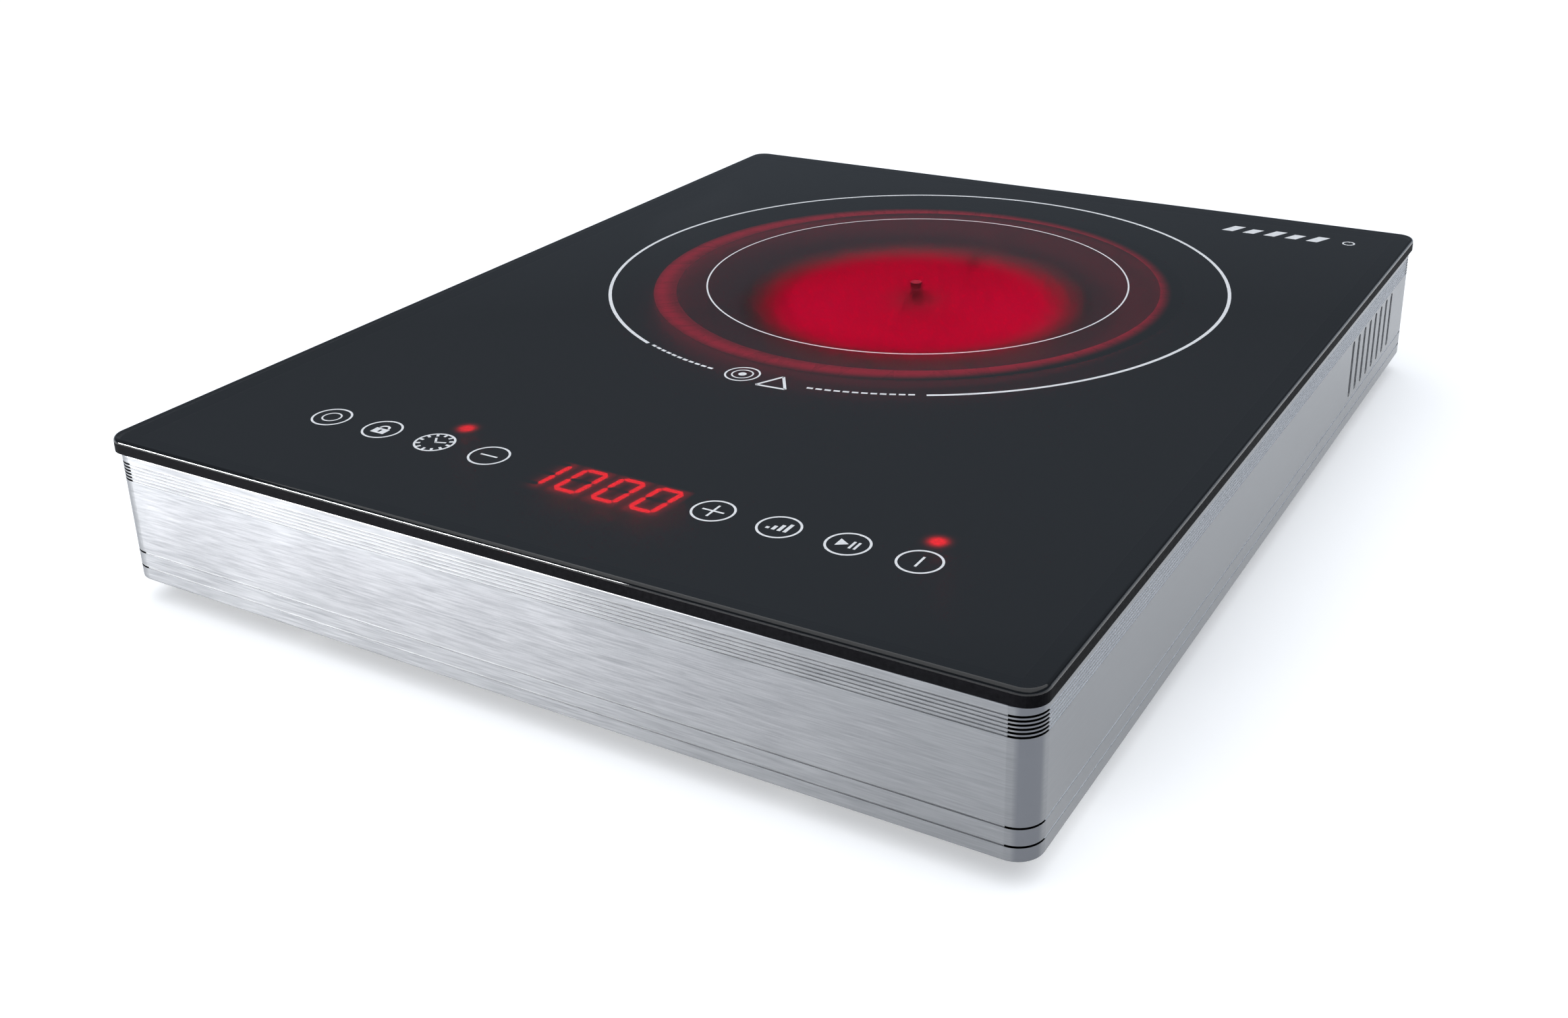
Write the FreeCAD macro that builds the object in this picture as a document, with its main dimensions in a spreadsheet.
import FreeCAD, Part
import math
import os
import re
import Sketcher

# Free-standing radiant hob with one two-circuit heater under a glass plate.
# The origin is under the middle of the hob, level with the bottoms of its feet.
# X runs to the right, Y to the rear and Z up. The touch keys are along the front.

SIZES = {
    # Glass plate, its seal and the frame under it.
    "plate_width": 290.0,
    "plate_depth": 362.0,
    "plate_thickness": 4.0,
    "plate_corner_radius": 6.0,
    "plate_edge_radius": 1.2,
    "plate_overhang": 0.8,
    "seal_thickness": 0.8,
    "seal_width": 6.0,
    "seal_inset": 0.3,
    "frame_height": 40.2,
    "frame_wall": 2.0,
    "frame_radius": 7.0,
    "frame_edge_radius": 0.4,
    "ledge_width": 7.0,
    "ledge_thickness": 1.8,
    "ledge_corner_gap": 4.0,
    "key_length": 26.0,
    "key_thickness": 3.0,
    # Decorative grooves round the frame, measured from its top or bottom edge.
    "groove_width": 0.6,
    "groove_depth": 0.35,
    "corner_groove_depth": 1.1,
    "groove_count": 6,
    "groove_pitch": 1.04,
    "groove_drop": 2.3,
    "lower_groove_rise": 3.8,
    "lower_groove_pitch": 4.9,
    # Air slots near the rear of both sides.
    "vent_count": 8,
    "vent_pitch": 8.0,
    "vent_width": 3.0,
    "vent_length": 20.3,
    "vent_rise": 21.25,
    "vent_inset": 58.75,
    # Base plate, its screws and the feet.
    "base_thickness": 1.0,
    "base_recess": 0.6,
    "base_gap": 0.4,
    "base_slot_width": 3.0,
    "base_slot_length": 22.0,
    "base_slot_pitch": 9.0,
    "base_slot_count": 8,
    "base_screw_x": 80.0,
    "base_screw_y": 110.0,
    "base_screw_end": 3.0,
    "thin_screw_radius": 1.45,
    "hole_gap": 0.25,
    "thin_head_radius": 2.9,
    "thin_head_height": 1.7,
    "recess_width": 0.9,
    "recess_share": 1.2,
    "recess_depth": 1.0,
    "foot_height": 7.5,
    "foot_side_inset": 34.0,
    "foot_end_inset": 78.0,
    "foot_radius": 11.0,
    "foot_taper": 1.5,
    "foot_screw_radius": 2.0,
    "foot_recess_radius": 5.0,
    "foot_recess_depth": 4.6,
    "foot_head_radius": 4.0,
    "foot_head_height": 2.4,
    "foot_screw_end": 1.0,
    "nut_height": 3.2,
    "nut_width": 7.0,
    # Cord inlet in the rear rail.
    "inlet_x": 95.0,
    "inlet_rise": 17.0,
    "inlet_bore_radius": 4.0,
    "inlet_sleeve_radius": 6.5,
    "inlet_flange_radius": 8.5,
    "inlet_flange_proud": 0.6,
    "inlet_flange_bevel": 0.3,
    "inlet_collar_thickness": 2.0,
    "inlet_tail": 6.0,
    "inlet_tail_taper": 1.0,
    # Heater: steel pan, insulation, two ribbons, limiter and sensor.
    "heater_inset": 130.1,
    "heater_radius": 94.0,
    "pan_wall": 0.6,
    "pan_rim_drop": 6.6,
    "insulation_gap": 0.2,
    "insulation_thickness": 14.0,
    "rim_height": 12.5,
    "rim_width": 8.0,
    "divider_gap": 8.5,
    "divider_width": 4.0,
    "divider_height": 5.5,
    "ribbon_thickness": 0.5,
    "ribbon_height": 5.0,
    "ribbon_gap_angle": 14.0,
    "inner_ribbon_start": 12.0,
    "inner_ribbon_turns": 7,
    "inner_ribbon_gap": 5.0,
    "outer_ribbon_inset": 14.5,
    "outer_ribbon_turns": 3,
    "outer_ribbon_pitch": 6.0,
    "sensor_radius": 6.0,
    "sensor_top_drop": 8.0,
    "sensor_flange_radius": 9.0,
    "sensor_flange_height": 2.0,
    "sensor_tail": 4.0,
    "bead_radius": 2.0,
    "limiter_angle": 225.0,
    "limiter_rod_radius": 2.0,
    "limiter_rod_drop": 3.9,
    "limiter_reach": 26.0,
    "limiter_head_length": 24.0,
    "limiter_head_width": 16.0,
    "limiter_head_height": 9.0,
    "limiter_head_drop": 1.0,
    "pan_bite": 1.0,
    "terminal_length": 16.0,
    "terminal_width": 34.0,
    "terminal_height": 12.0,
    "tab_width": 6.3,
    "tab_thickness": 0.8,
    "tab_height": 8.0,
    "tab_pitch": 9.0,
    "tab_count": 4,
    "bracket_width": 16.0,
    "bracket_reach": 14.0,
    "bracket_thickness": 1.0,
    "bracket_spread": 66.0,
    "bracket_screw_end": 2.0,
    # Cooling fan in the rear right corner.
    "fan_size": 50.0,
    "fan_depth": 15.0,
    "fan_ledge_gap": 0.8,
    "fan_corner_radius": 3.0,
    "fan_bore_radius": 23.8,
    "fan_hole_spread": 20.0,
    "fan_hole_radius": 2.15,
    "fan_screw_radius": 2.05,
    "fan_screw_drop": 3.0,
    "fan_head_radius": 3.55,
    "fan_head_height": 2.0,
    "fan_tip_gap": 0.7,
    "fan_hub_radius": 11.0,
    "fan_hub_wall": 1.0,
    "fan_floor": 2.0,
    "fan_strut_width": 3.0,
    "fan_strut_count": 4,
    "fan_strut_bite": 0.5,
    "fan_blade_count": 7,
    "fan_blade_chord": 13.0,
    "fan_blade_thickness": 1.2,
    "fan_blade_pitch": 38.0,
    "fan_end_gap": 1.0,
    "fan_boss_radius": 3.0,
    "fan_shaft_radius": 1.5,
    "fan_shaft_gap": 0.05,
    "fan_stator_gap": 1.2,
    "fan_stator_bevel": 1.6,
    "fan_vent_count": 16,
    "fan_vent_radius": 16.8,
    "fan_vent_pitch": 4.4,
    "fan_vent_hole": 2.4,
    # Touch controls under the front of the glass.
    "control_inset": 41.5,
    "control_width": 230.0,
    "control_depth": 56.0,
    "board_thickness": 1.6,
    "key_pitch": 19.7,
    "key_start": 37.0,
    "spring_height": 8.0,
    "spring_radius": 4.2,
    "spring_wire": 0.35,
    "spring_turns": 5,
    "display_width": 50.3,
    "display_depth": 19.0,
    "display_drop": 0.3,
    "display_pin_radius": 0.4,
    "display_pin_length": 3.0,
    "display_pin_pitch": 7.6,
    "display_pin_inset": 2.0,
    "display_pin_columns": 6,
    "led_radius": 1.5,
    "led_height": 7.6,
    "led_flange_radius": 1.9,
    "led_flange_height": 1.0,
    "timer_led_x": 57.5,
    "power_led_x": 94.0,
    "led_offset": 14.6,
    "buzzer_radius": 6.0,
    "buzzer_height": 6.5,
    "buzzer_hole_radius": 1.0,
    "buzzer_x": 104.0,
    "buzzer_y": 12.5,
    "carrier_thickness": 2.0,
    "carrier_leg_radius": 4.5,
    "carrier_leg_x": 108.0,
    "carrier_leg_y": 21.0,
    "carrier_screw_end": 8.0,
    "board_screw_end": 6.0,
    # Power board under the touch controls.
    "power_width": 184.0,
    "power_depth": 48.0,
    "spacer_height": 6.0,
    "spacer_radius": 3.5,
    "spacer_x": 86.0,
    "spacer_y": 18.5,
    "spacer_screw_end": 1.0,
    "relay_length": 19.0,
    "relay_width": 15.5,
    "relay_height": 15.3,
    "relay_x": 60.0,
    "relay_y": 10.0,
    "relay_pitch": 22.0,
    "transformer_length": 33.0,
    "transformer_width": 27.0,
    "transformer_core_height": 17.0,
    "transformer_coil_length": 21.0,
    "transformer_coil_width": 33.0,
    "transformer_coil_height": 13.0,
    "transformer_x": 45.0,
    "film_length": 18.0,
    "film_width": 8.0,
    "film_height": 14.0,
    "film_x": 12.0,
    "film_y": 14.0,
    "reservoir_radius": 5.0,
    "reservoir_height": 16.0,
    "reservoir_x": 14.0,
    "reservoir_y": 10.0,
    "sink_length": 44.0,
    "sink_width": 12.0,
    "sink_height": 17.0,
    "sink_fin_count": 8,
    "sink_fin_thickness": 1.4,
    "sink_web": 3.0,
    "sink_x": 12.0,
    "sink_y": 2.0,
    "triac_width": 10.0,
    "triac_thickness": 4.4,
    "triac_height": 15.0,
    "triac_pitch": 22.0,
    "fuse_radius": 2.6,
    "fuse_length": 20.0,
    "fuse_y": 20.4,
    "clip_width": 4.0,
    "clip_thickness": 0.6,
    "clip_height": 4.7,
    "lead_block_length": 12.0,
    "lead_block_width": 34.0,
    "lead_block_height": 12.0,
    "lead_block_x": 80.0,
    "lead_well_radius": 2.2,
    "lead_well_depth": 3.0,
    "lead_radius": 1.5,
    "lead_bend": 9.0,
    "lead_pitch": 9.0,
    "lead_wall_gap": 12.0,
    "lead_lane_pitch": 3.6,
    "lead_rise": 3.0,
    "lead_start_rise": 8.3,
}

# Places that several pieces share, as formulas of the sizes.
FRAME_HALF_WIDTH = "(plate_width / 2 - plate_overhang)"
FRAME_HALF_DEPTH = "(plate_depth / 2 - plate_overhang)"
INNER_HALF_WIDTH = "(plate_width / 2 - plate_overhang - frame_wall)"
INNER_HALF_DEPTH = "(plate_depth / 2 - plate_overhang - frame_wall)"
FRAME_TOP = "(foot_height + frame_height)"
GLASS_UNDERSIDE = "(foot_height + frame_height + seal_thickness)"
BASE_UNDERSIDE = "(foot_height + base_recess)"
BASE_TOP = "(foot_height + base_recess + base_thickness)"
FOOT_X = "(plate_width / 2 - foot_side_inset)"
FOOT_Y = "(plate_depth / 2 - foot_end_inset)"
HEATER_Y = "(plate_depth / 2 - heater_inset)"
RIBBON_FLOOR = f"({GLASS_UNDERSIDE} - rim_height)"
PAN_INSIDE = f"({GLASS_UNDERSIDE} - rim_height - insulation_thickness)"
PAN_UNDERSIDE = f"({PAN_INSIDE} - pan_wall)"
OUTER_RIBBON_RUN = "(outer_ribbon_pitch * (outer_ribbon_turns - 1))"
OUTER_RIBBON_START = f"(heater_radius - outer_ribbon_inset - {OUTER_RIBBON_RUN})"
DIVIDER_RADIUS = f"({OUTER_RIBBON_START} - divider_gap)"
INNER_RIBBON_RUN = f"({DIVIDER_RADIUS} - inner_ribbon_gap - inner_ribbon_start)"
INNER_RIBBON_PITCH = f"({INNER_RIBBON_RUN} / (inner_ribbon_turns - 1))"
FAN_X = f"({INNER_HALF_WIDTH} - ledge_width - fan_ledge_gap - fan_size / 2)"
FAN_Y = f"({INNER_HALF_DEPTH} - ledge_width - fan_ledge_gap - fan_size / 2)"
CONTROL_Y = "(control_inset - plate_depth / 2)"
CONTROL_TOP = f"({GLASS_UNDERSIDE} - spring_height)"
CARRIER_TOP = f"({GLASS_UNDERSIDE} - spring_height - board_thickness)"
POWER_UNDERSIDE = f"({BASE_TOP} + spacer_height)"
POWER_TOP = f"({BASE_TOP} + spacer_height + board_thickness)"
INLET_Z = "(foot_height + inlet_rise)"
FAN_ROTOR_TOP = "(fan_depth - fan_end_gap)"
LEADS = range(3)

doc = FreeCAD.newDocument("radiant_hob")
sheet = doc.addObject("Spreadsheet::Sheet", "sizes")
for row, (alias, size) in enumerate(SIZES.items(), start=1):
    sheet.set(f"A{row}", alias)
    sheet.set(f"B{row}", str(size))
    sheet.setAlias(f"B{row}", alias)
gauge = doc.addObject("App::FeaturePython", "gauge")
gauge.addProperty("App::PropertyFloat", "Reading")
doc.recompute()

nodes = []


def link(formula):
    """Write a formula of size names the way the document's expressions read it."""
    return re.sub(r"[a-z]\w*", lambda word: sized(word.group()), formula)


def sized(word):
    """Point a size's name at its cell, and leave any other word alone."""
    if word in SIZES:
        return "sizes." + word
    return word


def number(formula):
    """Value of a formula for the sizes in the sheet."""
    gauge.setExpression("Reading", link(formula))
    gauge.recompute()
    return gauge.Reading


def bind(piece, **formulas):
    """Drive properties of an object by formulas."""
    for name, formula in formulas.items():
        piece.setExpression(name, link(formula))


def place(piece, x, y, z):
    """Drive an object's position by formulas."""
    for axis, formula in zip("xyz", (x, y, z)):
        piece.setExpression(f"Placement.Base.{axis}", link(formula))
    return piece


def keep(piece, name):
    """Mark an object as a finished sub-part."""
    piece.Label = name
    nodes.append(piece)
    return piece


# Sketches, each fully driven by formulas.


def new_body(name):
    """Empty body for one sub-part."""
    return doc.addObject("PartDesign::Body", name + "_body")


def origin_feature(body, role):
    """Origin plane or axis of a body."""
    return next(item for item in body.Origin.OriginFeatures if item.Role == role)


def new_sketch(body, name, plane="XY_Plane", height="0"):
    """Sketch on one of the body's origin planes, raised along the plane's normal."""
    sketch = body.newObject("Sketcher::SketchObject", name)
    sketch.AttachmentSupport = [(origin_feature(body, plane), "")]
    sketch.MapMode = "FlatFace"
    sketch.setExpression("AttachmentOffset.Base.z", link(height))
    return sketch


def dimension(sketch, kind, *where, by):
    """Add a dimension to a sketch and drive it by a formula."""
    index = sketch.addConstraint(Sketcher.Constraint(kind, *where, number(by)))
    sketch.setExpression(f"Constraints[{index}]", link(by))


def tie(sketch, kind, *where):
    """Add a geometric constraint to a sketch."""
    sketch.addConstraint(Sketcher.Constraint(kind, *where))


def add_circle(sketch, x, y, radius):
    """Circle with its centre and radius given."""
    centre = FreeCAD.Vector(number(x), number(y), 0)
    ring = sketch.addGeometry(Part.Circle(centre, FreeCAD.Vector(0, 0, 1), number(radius)))
    dimension(sketch, "DistanceX", -1, 1, ring, 3, by=x)
    dimension(sketch, "DistanceY", -1, 1, ring, 3, by=y)
    dimension(sketch, "Radius", ring, by=radius)


def add_outline(sketch, corners):
    """Closed outline of straight edges through the given corners."""
    spots = [FreeCAD.Vector(number(x), number(y), 0) for x, y in corners]
    edges = []
    for start, end in zip(spots, spots[1:] + spots[:1]):
        edges.append(sketch.addGeometry(Part.LineSegment(start, end)))
    for edge, following in zip(edges, edges[1:] + edges[:1]):
        tie(sketch, "Coincident", edge, 2, following, 1)
    for edge, (x, y) in zip(edges, corners):
        dimension(sketch, "DistanceX", -1, 1, edge, 1, by=x)
        dimension(sketch, "DistanceY", -1, 1, edge, 1, by=y)


def add_rectangle(sketch, left, bottom, right, top):
    """Upright rectangle between two corners."""
    add_outline(sketch, [(left, bottom), (right, bottom), (right, top), (left, top)])


def line(x0, y0, x1, y1):
    """Straight edge as sketch geometry."""
    return Part.LineSegment(FreeCAD.Vector(x0, y0, 0), FreeCAD.Vector(x1, y1, 0))


def arc(x, y, radius, start, sweep):
    """Part of a circle as sketch geometry, from a start angle through a sweep in degrees."""
    circle = Part.Circle(FreeCAD.Vector(x, y, 0), FreeCAD.Vector(0, 0, 1), radius)
    return Part.ArcOfCircle(circle, math.radians(start), math.radians(start + sweep))


def add_rounded_rectangle(sketch, half_width, half_depth, radius):
    """Rectangle about the sketch's origin with equal round corners."""
    a = number(half_width)
    b = number(half_depth)
    r = number(radius)
    quarter = 90
    bottom = sketch.addGeometry(line(r - a, -b, a - r, -b))
    low_right = sketch.addGeometry(arc(a - r, r - b, r, -quarter, quarter))
    right = sketch.addGeometry(line(a, r - b, a, b - r))
    high_right = sketch.addGeometry(arc(a - r, b - r, r, 0, quarter))
    top = sketch.addGeometry(line(a - r, b, r - a, b))
    high_left = sketch.addGeometry(arc(r - a, b - r, r, quarter, quarter))
    left = sketch.addGeometry(line(-a, b - r, -a, r - b))
    low_left = sketch.addGeometry(arc(r - a, r - b, r, 2 * quarter, quarter))
    loop = [bottom, low_right, right, high_right, top, high_left, left, low_left]
    for edge, following in zip(loop, loop[1:] + loop[:1]):
        tie(sketch, "Tangent", edge, 2, following, 1)
    for level, upright in ((bottom, right), (top, left)):
        tie(sketch, "Horizontal", level)
        tie(sketch, "Vertical", upright)
    for corner in (high_right, high_left, low_left):
        tie(sketch, "Equal", low_right, corner)
    dimension(sketch, "Radius", low_right, by=radius)
    dimension(sketch, "DistanceX", -1, 1, right, 1, by=half_width)
    dimension(sketch, "DistanceX", left, 1, -1, 1, by=half_width)
    dimension(sketch, "DistanceY", bottom, 1, -1, 1, by=half_depth)
    dimension(sketch, "DistanceY", -1, 1, top, 1, by=half_depth)


def add_slot(sketch, x, y, length, width):
    """Slot with round ends whose long axis runs along the sketch's Y."""
    across = number(x)
    r = number(width) / 2
    reach = (number(length) - number(width)) / 2
    low = number(y) - reach
    high = number(y) + reach
    half = 180
    right = sketch.addGeometry(line(across + r, low, across + r, high))
    top = sketch.addGeometry(arc(across, high, r, 0, half))
    left = sketch.addGeometry(line(across - r, high, across - r, low))
    bottom = sketch.addGeometry(arc(across, low, r, half, half))
    loop = [right, top, left, bottom]
    for edge, following in zip(loop, loop[1:] + loop[:1]):
        tie(sketch, "Tangent", edge, 2, following, 1)
    tie(sketch, "Vertical", right)
    tie(sketch, "Equal", top, bottom)
    dimension(sketch, "Radius", top, by=f"({width}) / 2")
    dimension(sketch, "DistanceX", -1, 1, top, 3, by=x)
    dimension(sketch, "DistanceY", -1, 1, top, 3, by=f"({y}) + (({length}) - ({width})) / 2")
    dimension(sketch, "DistanceY", -1, 1, bottom, 3, by=f"({y}) - (({length}) - ({width})) / 2")


# Body features. Each one is computed at once, so that a cut that misses is noticed.


def add_pad(body, sketch, length):
    """Extrude a sketch along its normal."""
    feature = body.newObject("PartDesign::Pad", sketch.Name + "_pad")
    feature.Profile = sketch
    bind(feature, Length=length)
    doc.recompute()
    return feature


def add_revolution(body, sketch):
    """Turn a sketch once round its vertical axis."""
    feature = body.newObject("PartDesign::Revolution", sketch.Name + "_turned")
    feature.Profile = sketch
    feature.ReferenceAxis = (sketch, ["V_Axis"])
    feature.Angle = 360
    doc.recompute()
    return feature


def add_pocket(body, sketch, length=None, both_ways=False):
    """Cut a sketch out of the body, against its normal, through all or to a depth."""
    volume = body.Tip.Shape.Volume
    feature = body.newObject("PartDesign::Pocket", sketch.Name + "_cut")
    feature.Profile = sketch
    if length is None:
        feature.Type = "ThroughAll"
    else:
        bind(feature, Length=length)
    if both_ways:
        feature.SideType = "Symmetric"
    doc.recompute()
    if not feature.Shape.Volume < volume:
        raise RuntimeError(f"{feature.Name} cuts nothing")
    return feature


def add_line_pattern(body, feature, axis, count, pitch, backwards=False):
    """Repeat a feature along one of the body's axes."""
    pattern = body.newObject("PartDesign::LinearPattern", feature.Name + "_row")
    pattern.Originals = [feature]
    pattern.Direction = (origin_feature(body, axis), [""])
    pattern.Reversed = backwards
    bind(pattern, Length=f"{pitch} * ({count} - 1)", Occurrences=count)
    body.Tip = pattern
    doc.recompute()
    return pattern


def round_edges(body, level, half_width, half_depth, radius):
    """Round the edges that run along the outside of the body at one height."""
    base = body.Tip
    height = number(level)
    side = number(half_width)
    end = number(half_depth)
    close = 0.01
    names = []
    for index, edge in enumerate(base.Shape.Edges, start=1):
        spots = [edge.valueAt(edge.FirstParameter), edge.valueAt(edge.LastParameter)]
        flat = all(abs(spot.z - height) < close for spot in spots)
        outside = any(abs(abs(spot.x) - side) < close or abs(abs(spot.y) - end) < close for spot in spots)
        if flat and outside:
            names.append(f"Edge{index}")
    fillet = body.newObject("PartDesign::Fillet", body.Name + "_round")
    fillet.Base = (base, names)
    bind(fillet, Radius=radius)
    body.Tip = fillet
    doc.recompute()
    return fillet


# Plain solids and the ways they are put together.


def block(name, x, y, z, length, width, height):
    """Box centred on x and y, standing on z."""
    piece = doc.addObject("Part::Box", name)
    bind(piece, Length=length, Width=width, Height=height)
    return place(piece, f"{x} - ({length}) / 2", f"{y} - ({width}) / 2", z)


def disc(name, x, y, z, radius, height, lay=None):
    """Cylinder that stands on x, y, z, or lies along an axis by a rotation."""
    piece = doc.addObject("Part::Cylinder", name)
    bind(piece, Radius=radius, Height=height)
    if lay is not None:
        piece.Placement.Rotation = lay
    return place(piece, x, y, z)


def joined(name, pieces):
    """One solid made of several."""
    piece = doc.addObject("Part::MultiFuse", name)
    piece.Shapes = pieces
    piece.Refine = True
    return piece


def less(name, base, tools):
    """A solid with others cut out of it."""
    piece = doc.addObject("Part::Cut", name)
    piece.Base = base
    piece.Tool = tools[0] if len(tools) == 1 else joined(name + "_tools", tools)
    return piece


def shared(name, base, tool):
    """What a solid has in common with another."""
    piece = doc.addObject("Part::Common", name)
    piece.Base = base
    piece.Tool = tool
    return piece


def group(name, pieces):
    """Identical separate solids that share a node."""
    piece = doc.addObject("Part::Compound", name + "_group")
    piece.Links = pieces
    return keep(piece, name)


def screw(name, x, y, seat, head_radius, head_height, shank_radius, shank_length, upward=True):
    """Cross-recess screw with its head against a seat and its shank going up or down."""
    if upward:
        head_z = f"({seat}) - ({head_height})"
        shank_z = f"({seat})"
        recess_z = head_z
    else:
        head_z = f"({seat})"
        shank_z = f"({seat}) - ({shank_length})"
        recess_z = f"({seat}) + ({head_height}) - recess_depth"
    head = disc(name + "_head", x, y, head_z, head_radius, head_height)
    shank = disc(name + "_shank", x, y, shank_z, shank_radius, shank_length)
    slot_length = f"({head_radius}) * recess_share"
    one = block(name + "_recess_a", x, y, recess_z, slot_length, "recess_width", "recess_depth")
    other = block(name + "_recess_b", x, y, recess_z, "recess_width", slot_length, "recess_depth")
    return less(name, joined(name + "_blank", [head, shank]), [one, other])


# Places of the fasteners, used by the screws and by every hole they pass through.

LEDGE_X = f"({INNER_HALF_WIDTH} - ledge_width / 2)"
LEDGE_Y = f"({INNER_HALF_DEPTH} - ledge_width / 2)"
BASE_SCREWS = [(f"{side} * {LEDGE_X}", f"{end} * base_screw_y") for side in (-1, 1) for end in (-1, 1)]
BASE_SCREWS += [(f"{side} * base_screw_x", f"{end} * {LEDGE_Y}") for side in (-1, 1) for end in (-1, 1)]
FEET = [(f"{side} * {FOOT_X}", f"{end} * {FOOT_Y}") for side in (-1, 1) for end in (-1, 1)]
FAN_SCREWS = [
    (f"({FAN_X} + {side} * fan_hole_spread)", f"({FAN_Y} + {end} * fan_hole_spread)")
    for side in (-1, 1)
    for end in (-1, 1)
]
CARRIER_LEGS = [
    (f"{side} * carrier_leg_x", f"({CONTROL_Y} + {end} * carrier_leg_y)")
    for side in (-1, 1)
    for end in (-1, 1)
]
SPACERS = [
    (f"{side} * spacer_x", f"({CONTROL_Y} + {end} * spacer_y)") for side in (-1, 1) for end in (-1, 1)
]
BRACKETS = [
    (f"{side} * bracket_spread", f"({HEATER_Y} + {end} * bracket_spread)", side)
    for side in (-1, 1)
    for end in (-1, 1)
]
KEYS = [
    f"({side} * (key_start + {step} * key_pitch))"
    for side in (-1, 1)
    for step in range(4)
]


def make_glass_plate():
    """Toughened glass-ceramic plate that covers the whole hob."""
    body = new_body("glass_plate")
    sketch = new_sketch(body, "plate_outline", height=GLASS_UNDERSIDE)
    add_rounded_rectangle(sketch, "plate_width / 2", "plate_depth / 2", "plate_corner_radius")
    add_pad(body, sketch, "plate_thickness")
    top = f"{GLASS_UNDERSIDE} + plate_thickness"
    round_edges(body, top, "plate_width / 2", "plate_depth / 2", "plate_edge_radius")
    keep(body, "glass_plate")


def make_glass_seal():
    """Silicone bead that beds the plate on the frame."""
    body = new_body("glass_seal")
    sketch = new_sketch(body, "seal_outline", height=FRAME_TOP)
    add_rounded_rectangle(
        sketch,
        f"{FRAME_HALF_WIDTH} - seal_inset",
        f"{FRAME_HALF_DEPTH} - seal_inset",
        "frame_radius - seal_inset",
    )
    add_rounded_rectangle(
        sketch,
        f"{FRAME_HALF_WIDTH} - seal_inset - seal_width",
        f"{FRAME_HALF_DEPTH} - seal_inset - seal_width",
        "frame_radius - seal_inset - seal_width",
    )
    add_pad(body, sketch, "seal_thickness")
    keep(body, "glass_seal")


def add_ledges(body, name, level):
    """Four straight flanges inside the frame, which stop short of its corners."""
    sketch = new_sketch(body, name, height=level)
    bite = "(frame_wall / 2)"
    run_x = f"({FRAME_HALF_WIDTH} - frame_radius - ledge_corner_gap)"
    run_y = f"({FRAME_HALF_DEPTH} - frame_radius - ledge_corner_gap)"
    out_x = f"({INNER_HALF_WIDTH} + {bite})"
    out_y = f"({INNER_HALF_DEPTH} + {bite})"
    in_x = f"({INNER_HALF_WIDTH} - ledge_width)"
    in_y = f"({INNER_HALF_DEPTH} - ledge_width)"
    add_rectangle(sketch, in_x, f"-{run_y}", out_x, run_y)
    add_rectangle(sketch, f"-{out_x}", f"-{run_y}", f"-{in_x}", run_y)
    add_rectangle(sketch, f"-{run_x}", in_y, run_x, out_y)
    add_rectangle(sketch, f"-{run_x}", f"-{out_y}", run_x, f"-{in_y}")
    add_pad(body, sketch, "ledge_thickness")


def cut_grooves(body, name, top, count, pitch, depth):
    """Square grooves right round the outside of the frame, the highest one first."""
    sketch = new_sketch(body, name, height=top)
    clear = "frame_wall"
    add_rounded_rectangle(
        sketch, f"{FRAME_HALF_WIDTH} + {clear}", f"{FRAME_HALF_DEPTH} + {clear}", f"frame_radius + {clear}"
    )
    add_rounded_rectangle(
        sketch,
        f"{FRAME_HALF_WIDTH} - {depth}",
        f"{FRAME_HALF_DEPTH} - {depth}",
        f"frame_radius - {depth}",
    )
    groove = add_pocket(body, sketch, "groove_width")
    add_line_pattern(body, groove, "Z_Axis", count, pitch, backwards=True)


def new_band(name, depth):
    """Closed ring with the frame's wall, grooved right round to a depth."""
    body = new_body(name)
    sketch = new_sketch(body, name + "_outline", height="foot_height")
    add_rounded_rectangle(sketch, FRAME_HALF_WIDTH, FRAME_HALF_DEPTH, "frame_radius")
    add_rounded_rectangle(sketch, INNER_HALF_WIDTH, INNER_HALF_DEPTH, "frame_radius - frame_wall")
    add_pad(body, sketch, "frame_height")
    for level in (FRAME_TOP, "foot_height"):
        round_edges(body, level, FRAME_HALF_WIDTH, FRAME_HALF_DEPTH, "frame_edge_radius")
    upper_top = f"{FRAME_TOP} - groove_drop"
    cut_grooves(body, name + "_upper_grooves", upper_top, "groove_count", "groove_pitch", depth)
    lower_top = "foot_height + lower_groove_rise + lower_groove_pitch + groove_width"
    cut_grooves(body, name + "_lower_grooves", lower_top, "2", "lower_groove_pitch", depth)
    return body


def keep_corners(name, ring, reach, foot, height):
    """Keep the four corners of a ring, each as far along both of its walls as a reach."""
    solids = []
    for side in (-1, 1):
        for end in (-1, 1):
            x = f"{side} * ({FRAME_HALF_WIDTH} - {reach} / 2)"
            y = f"{end} * ({FRAME_HALF_DEPTH} - {reach} / 2)"
            part = f"{name}_{side + 1}_{end + 1}"
            solids.append(shared(part, ring, block(part + "_box", x, y, foot, reach, reach, height)))
    group(name, solids)


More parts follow.
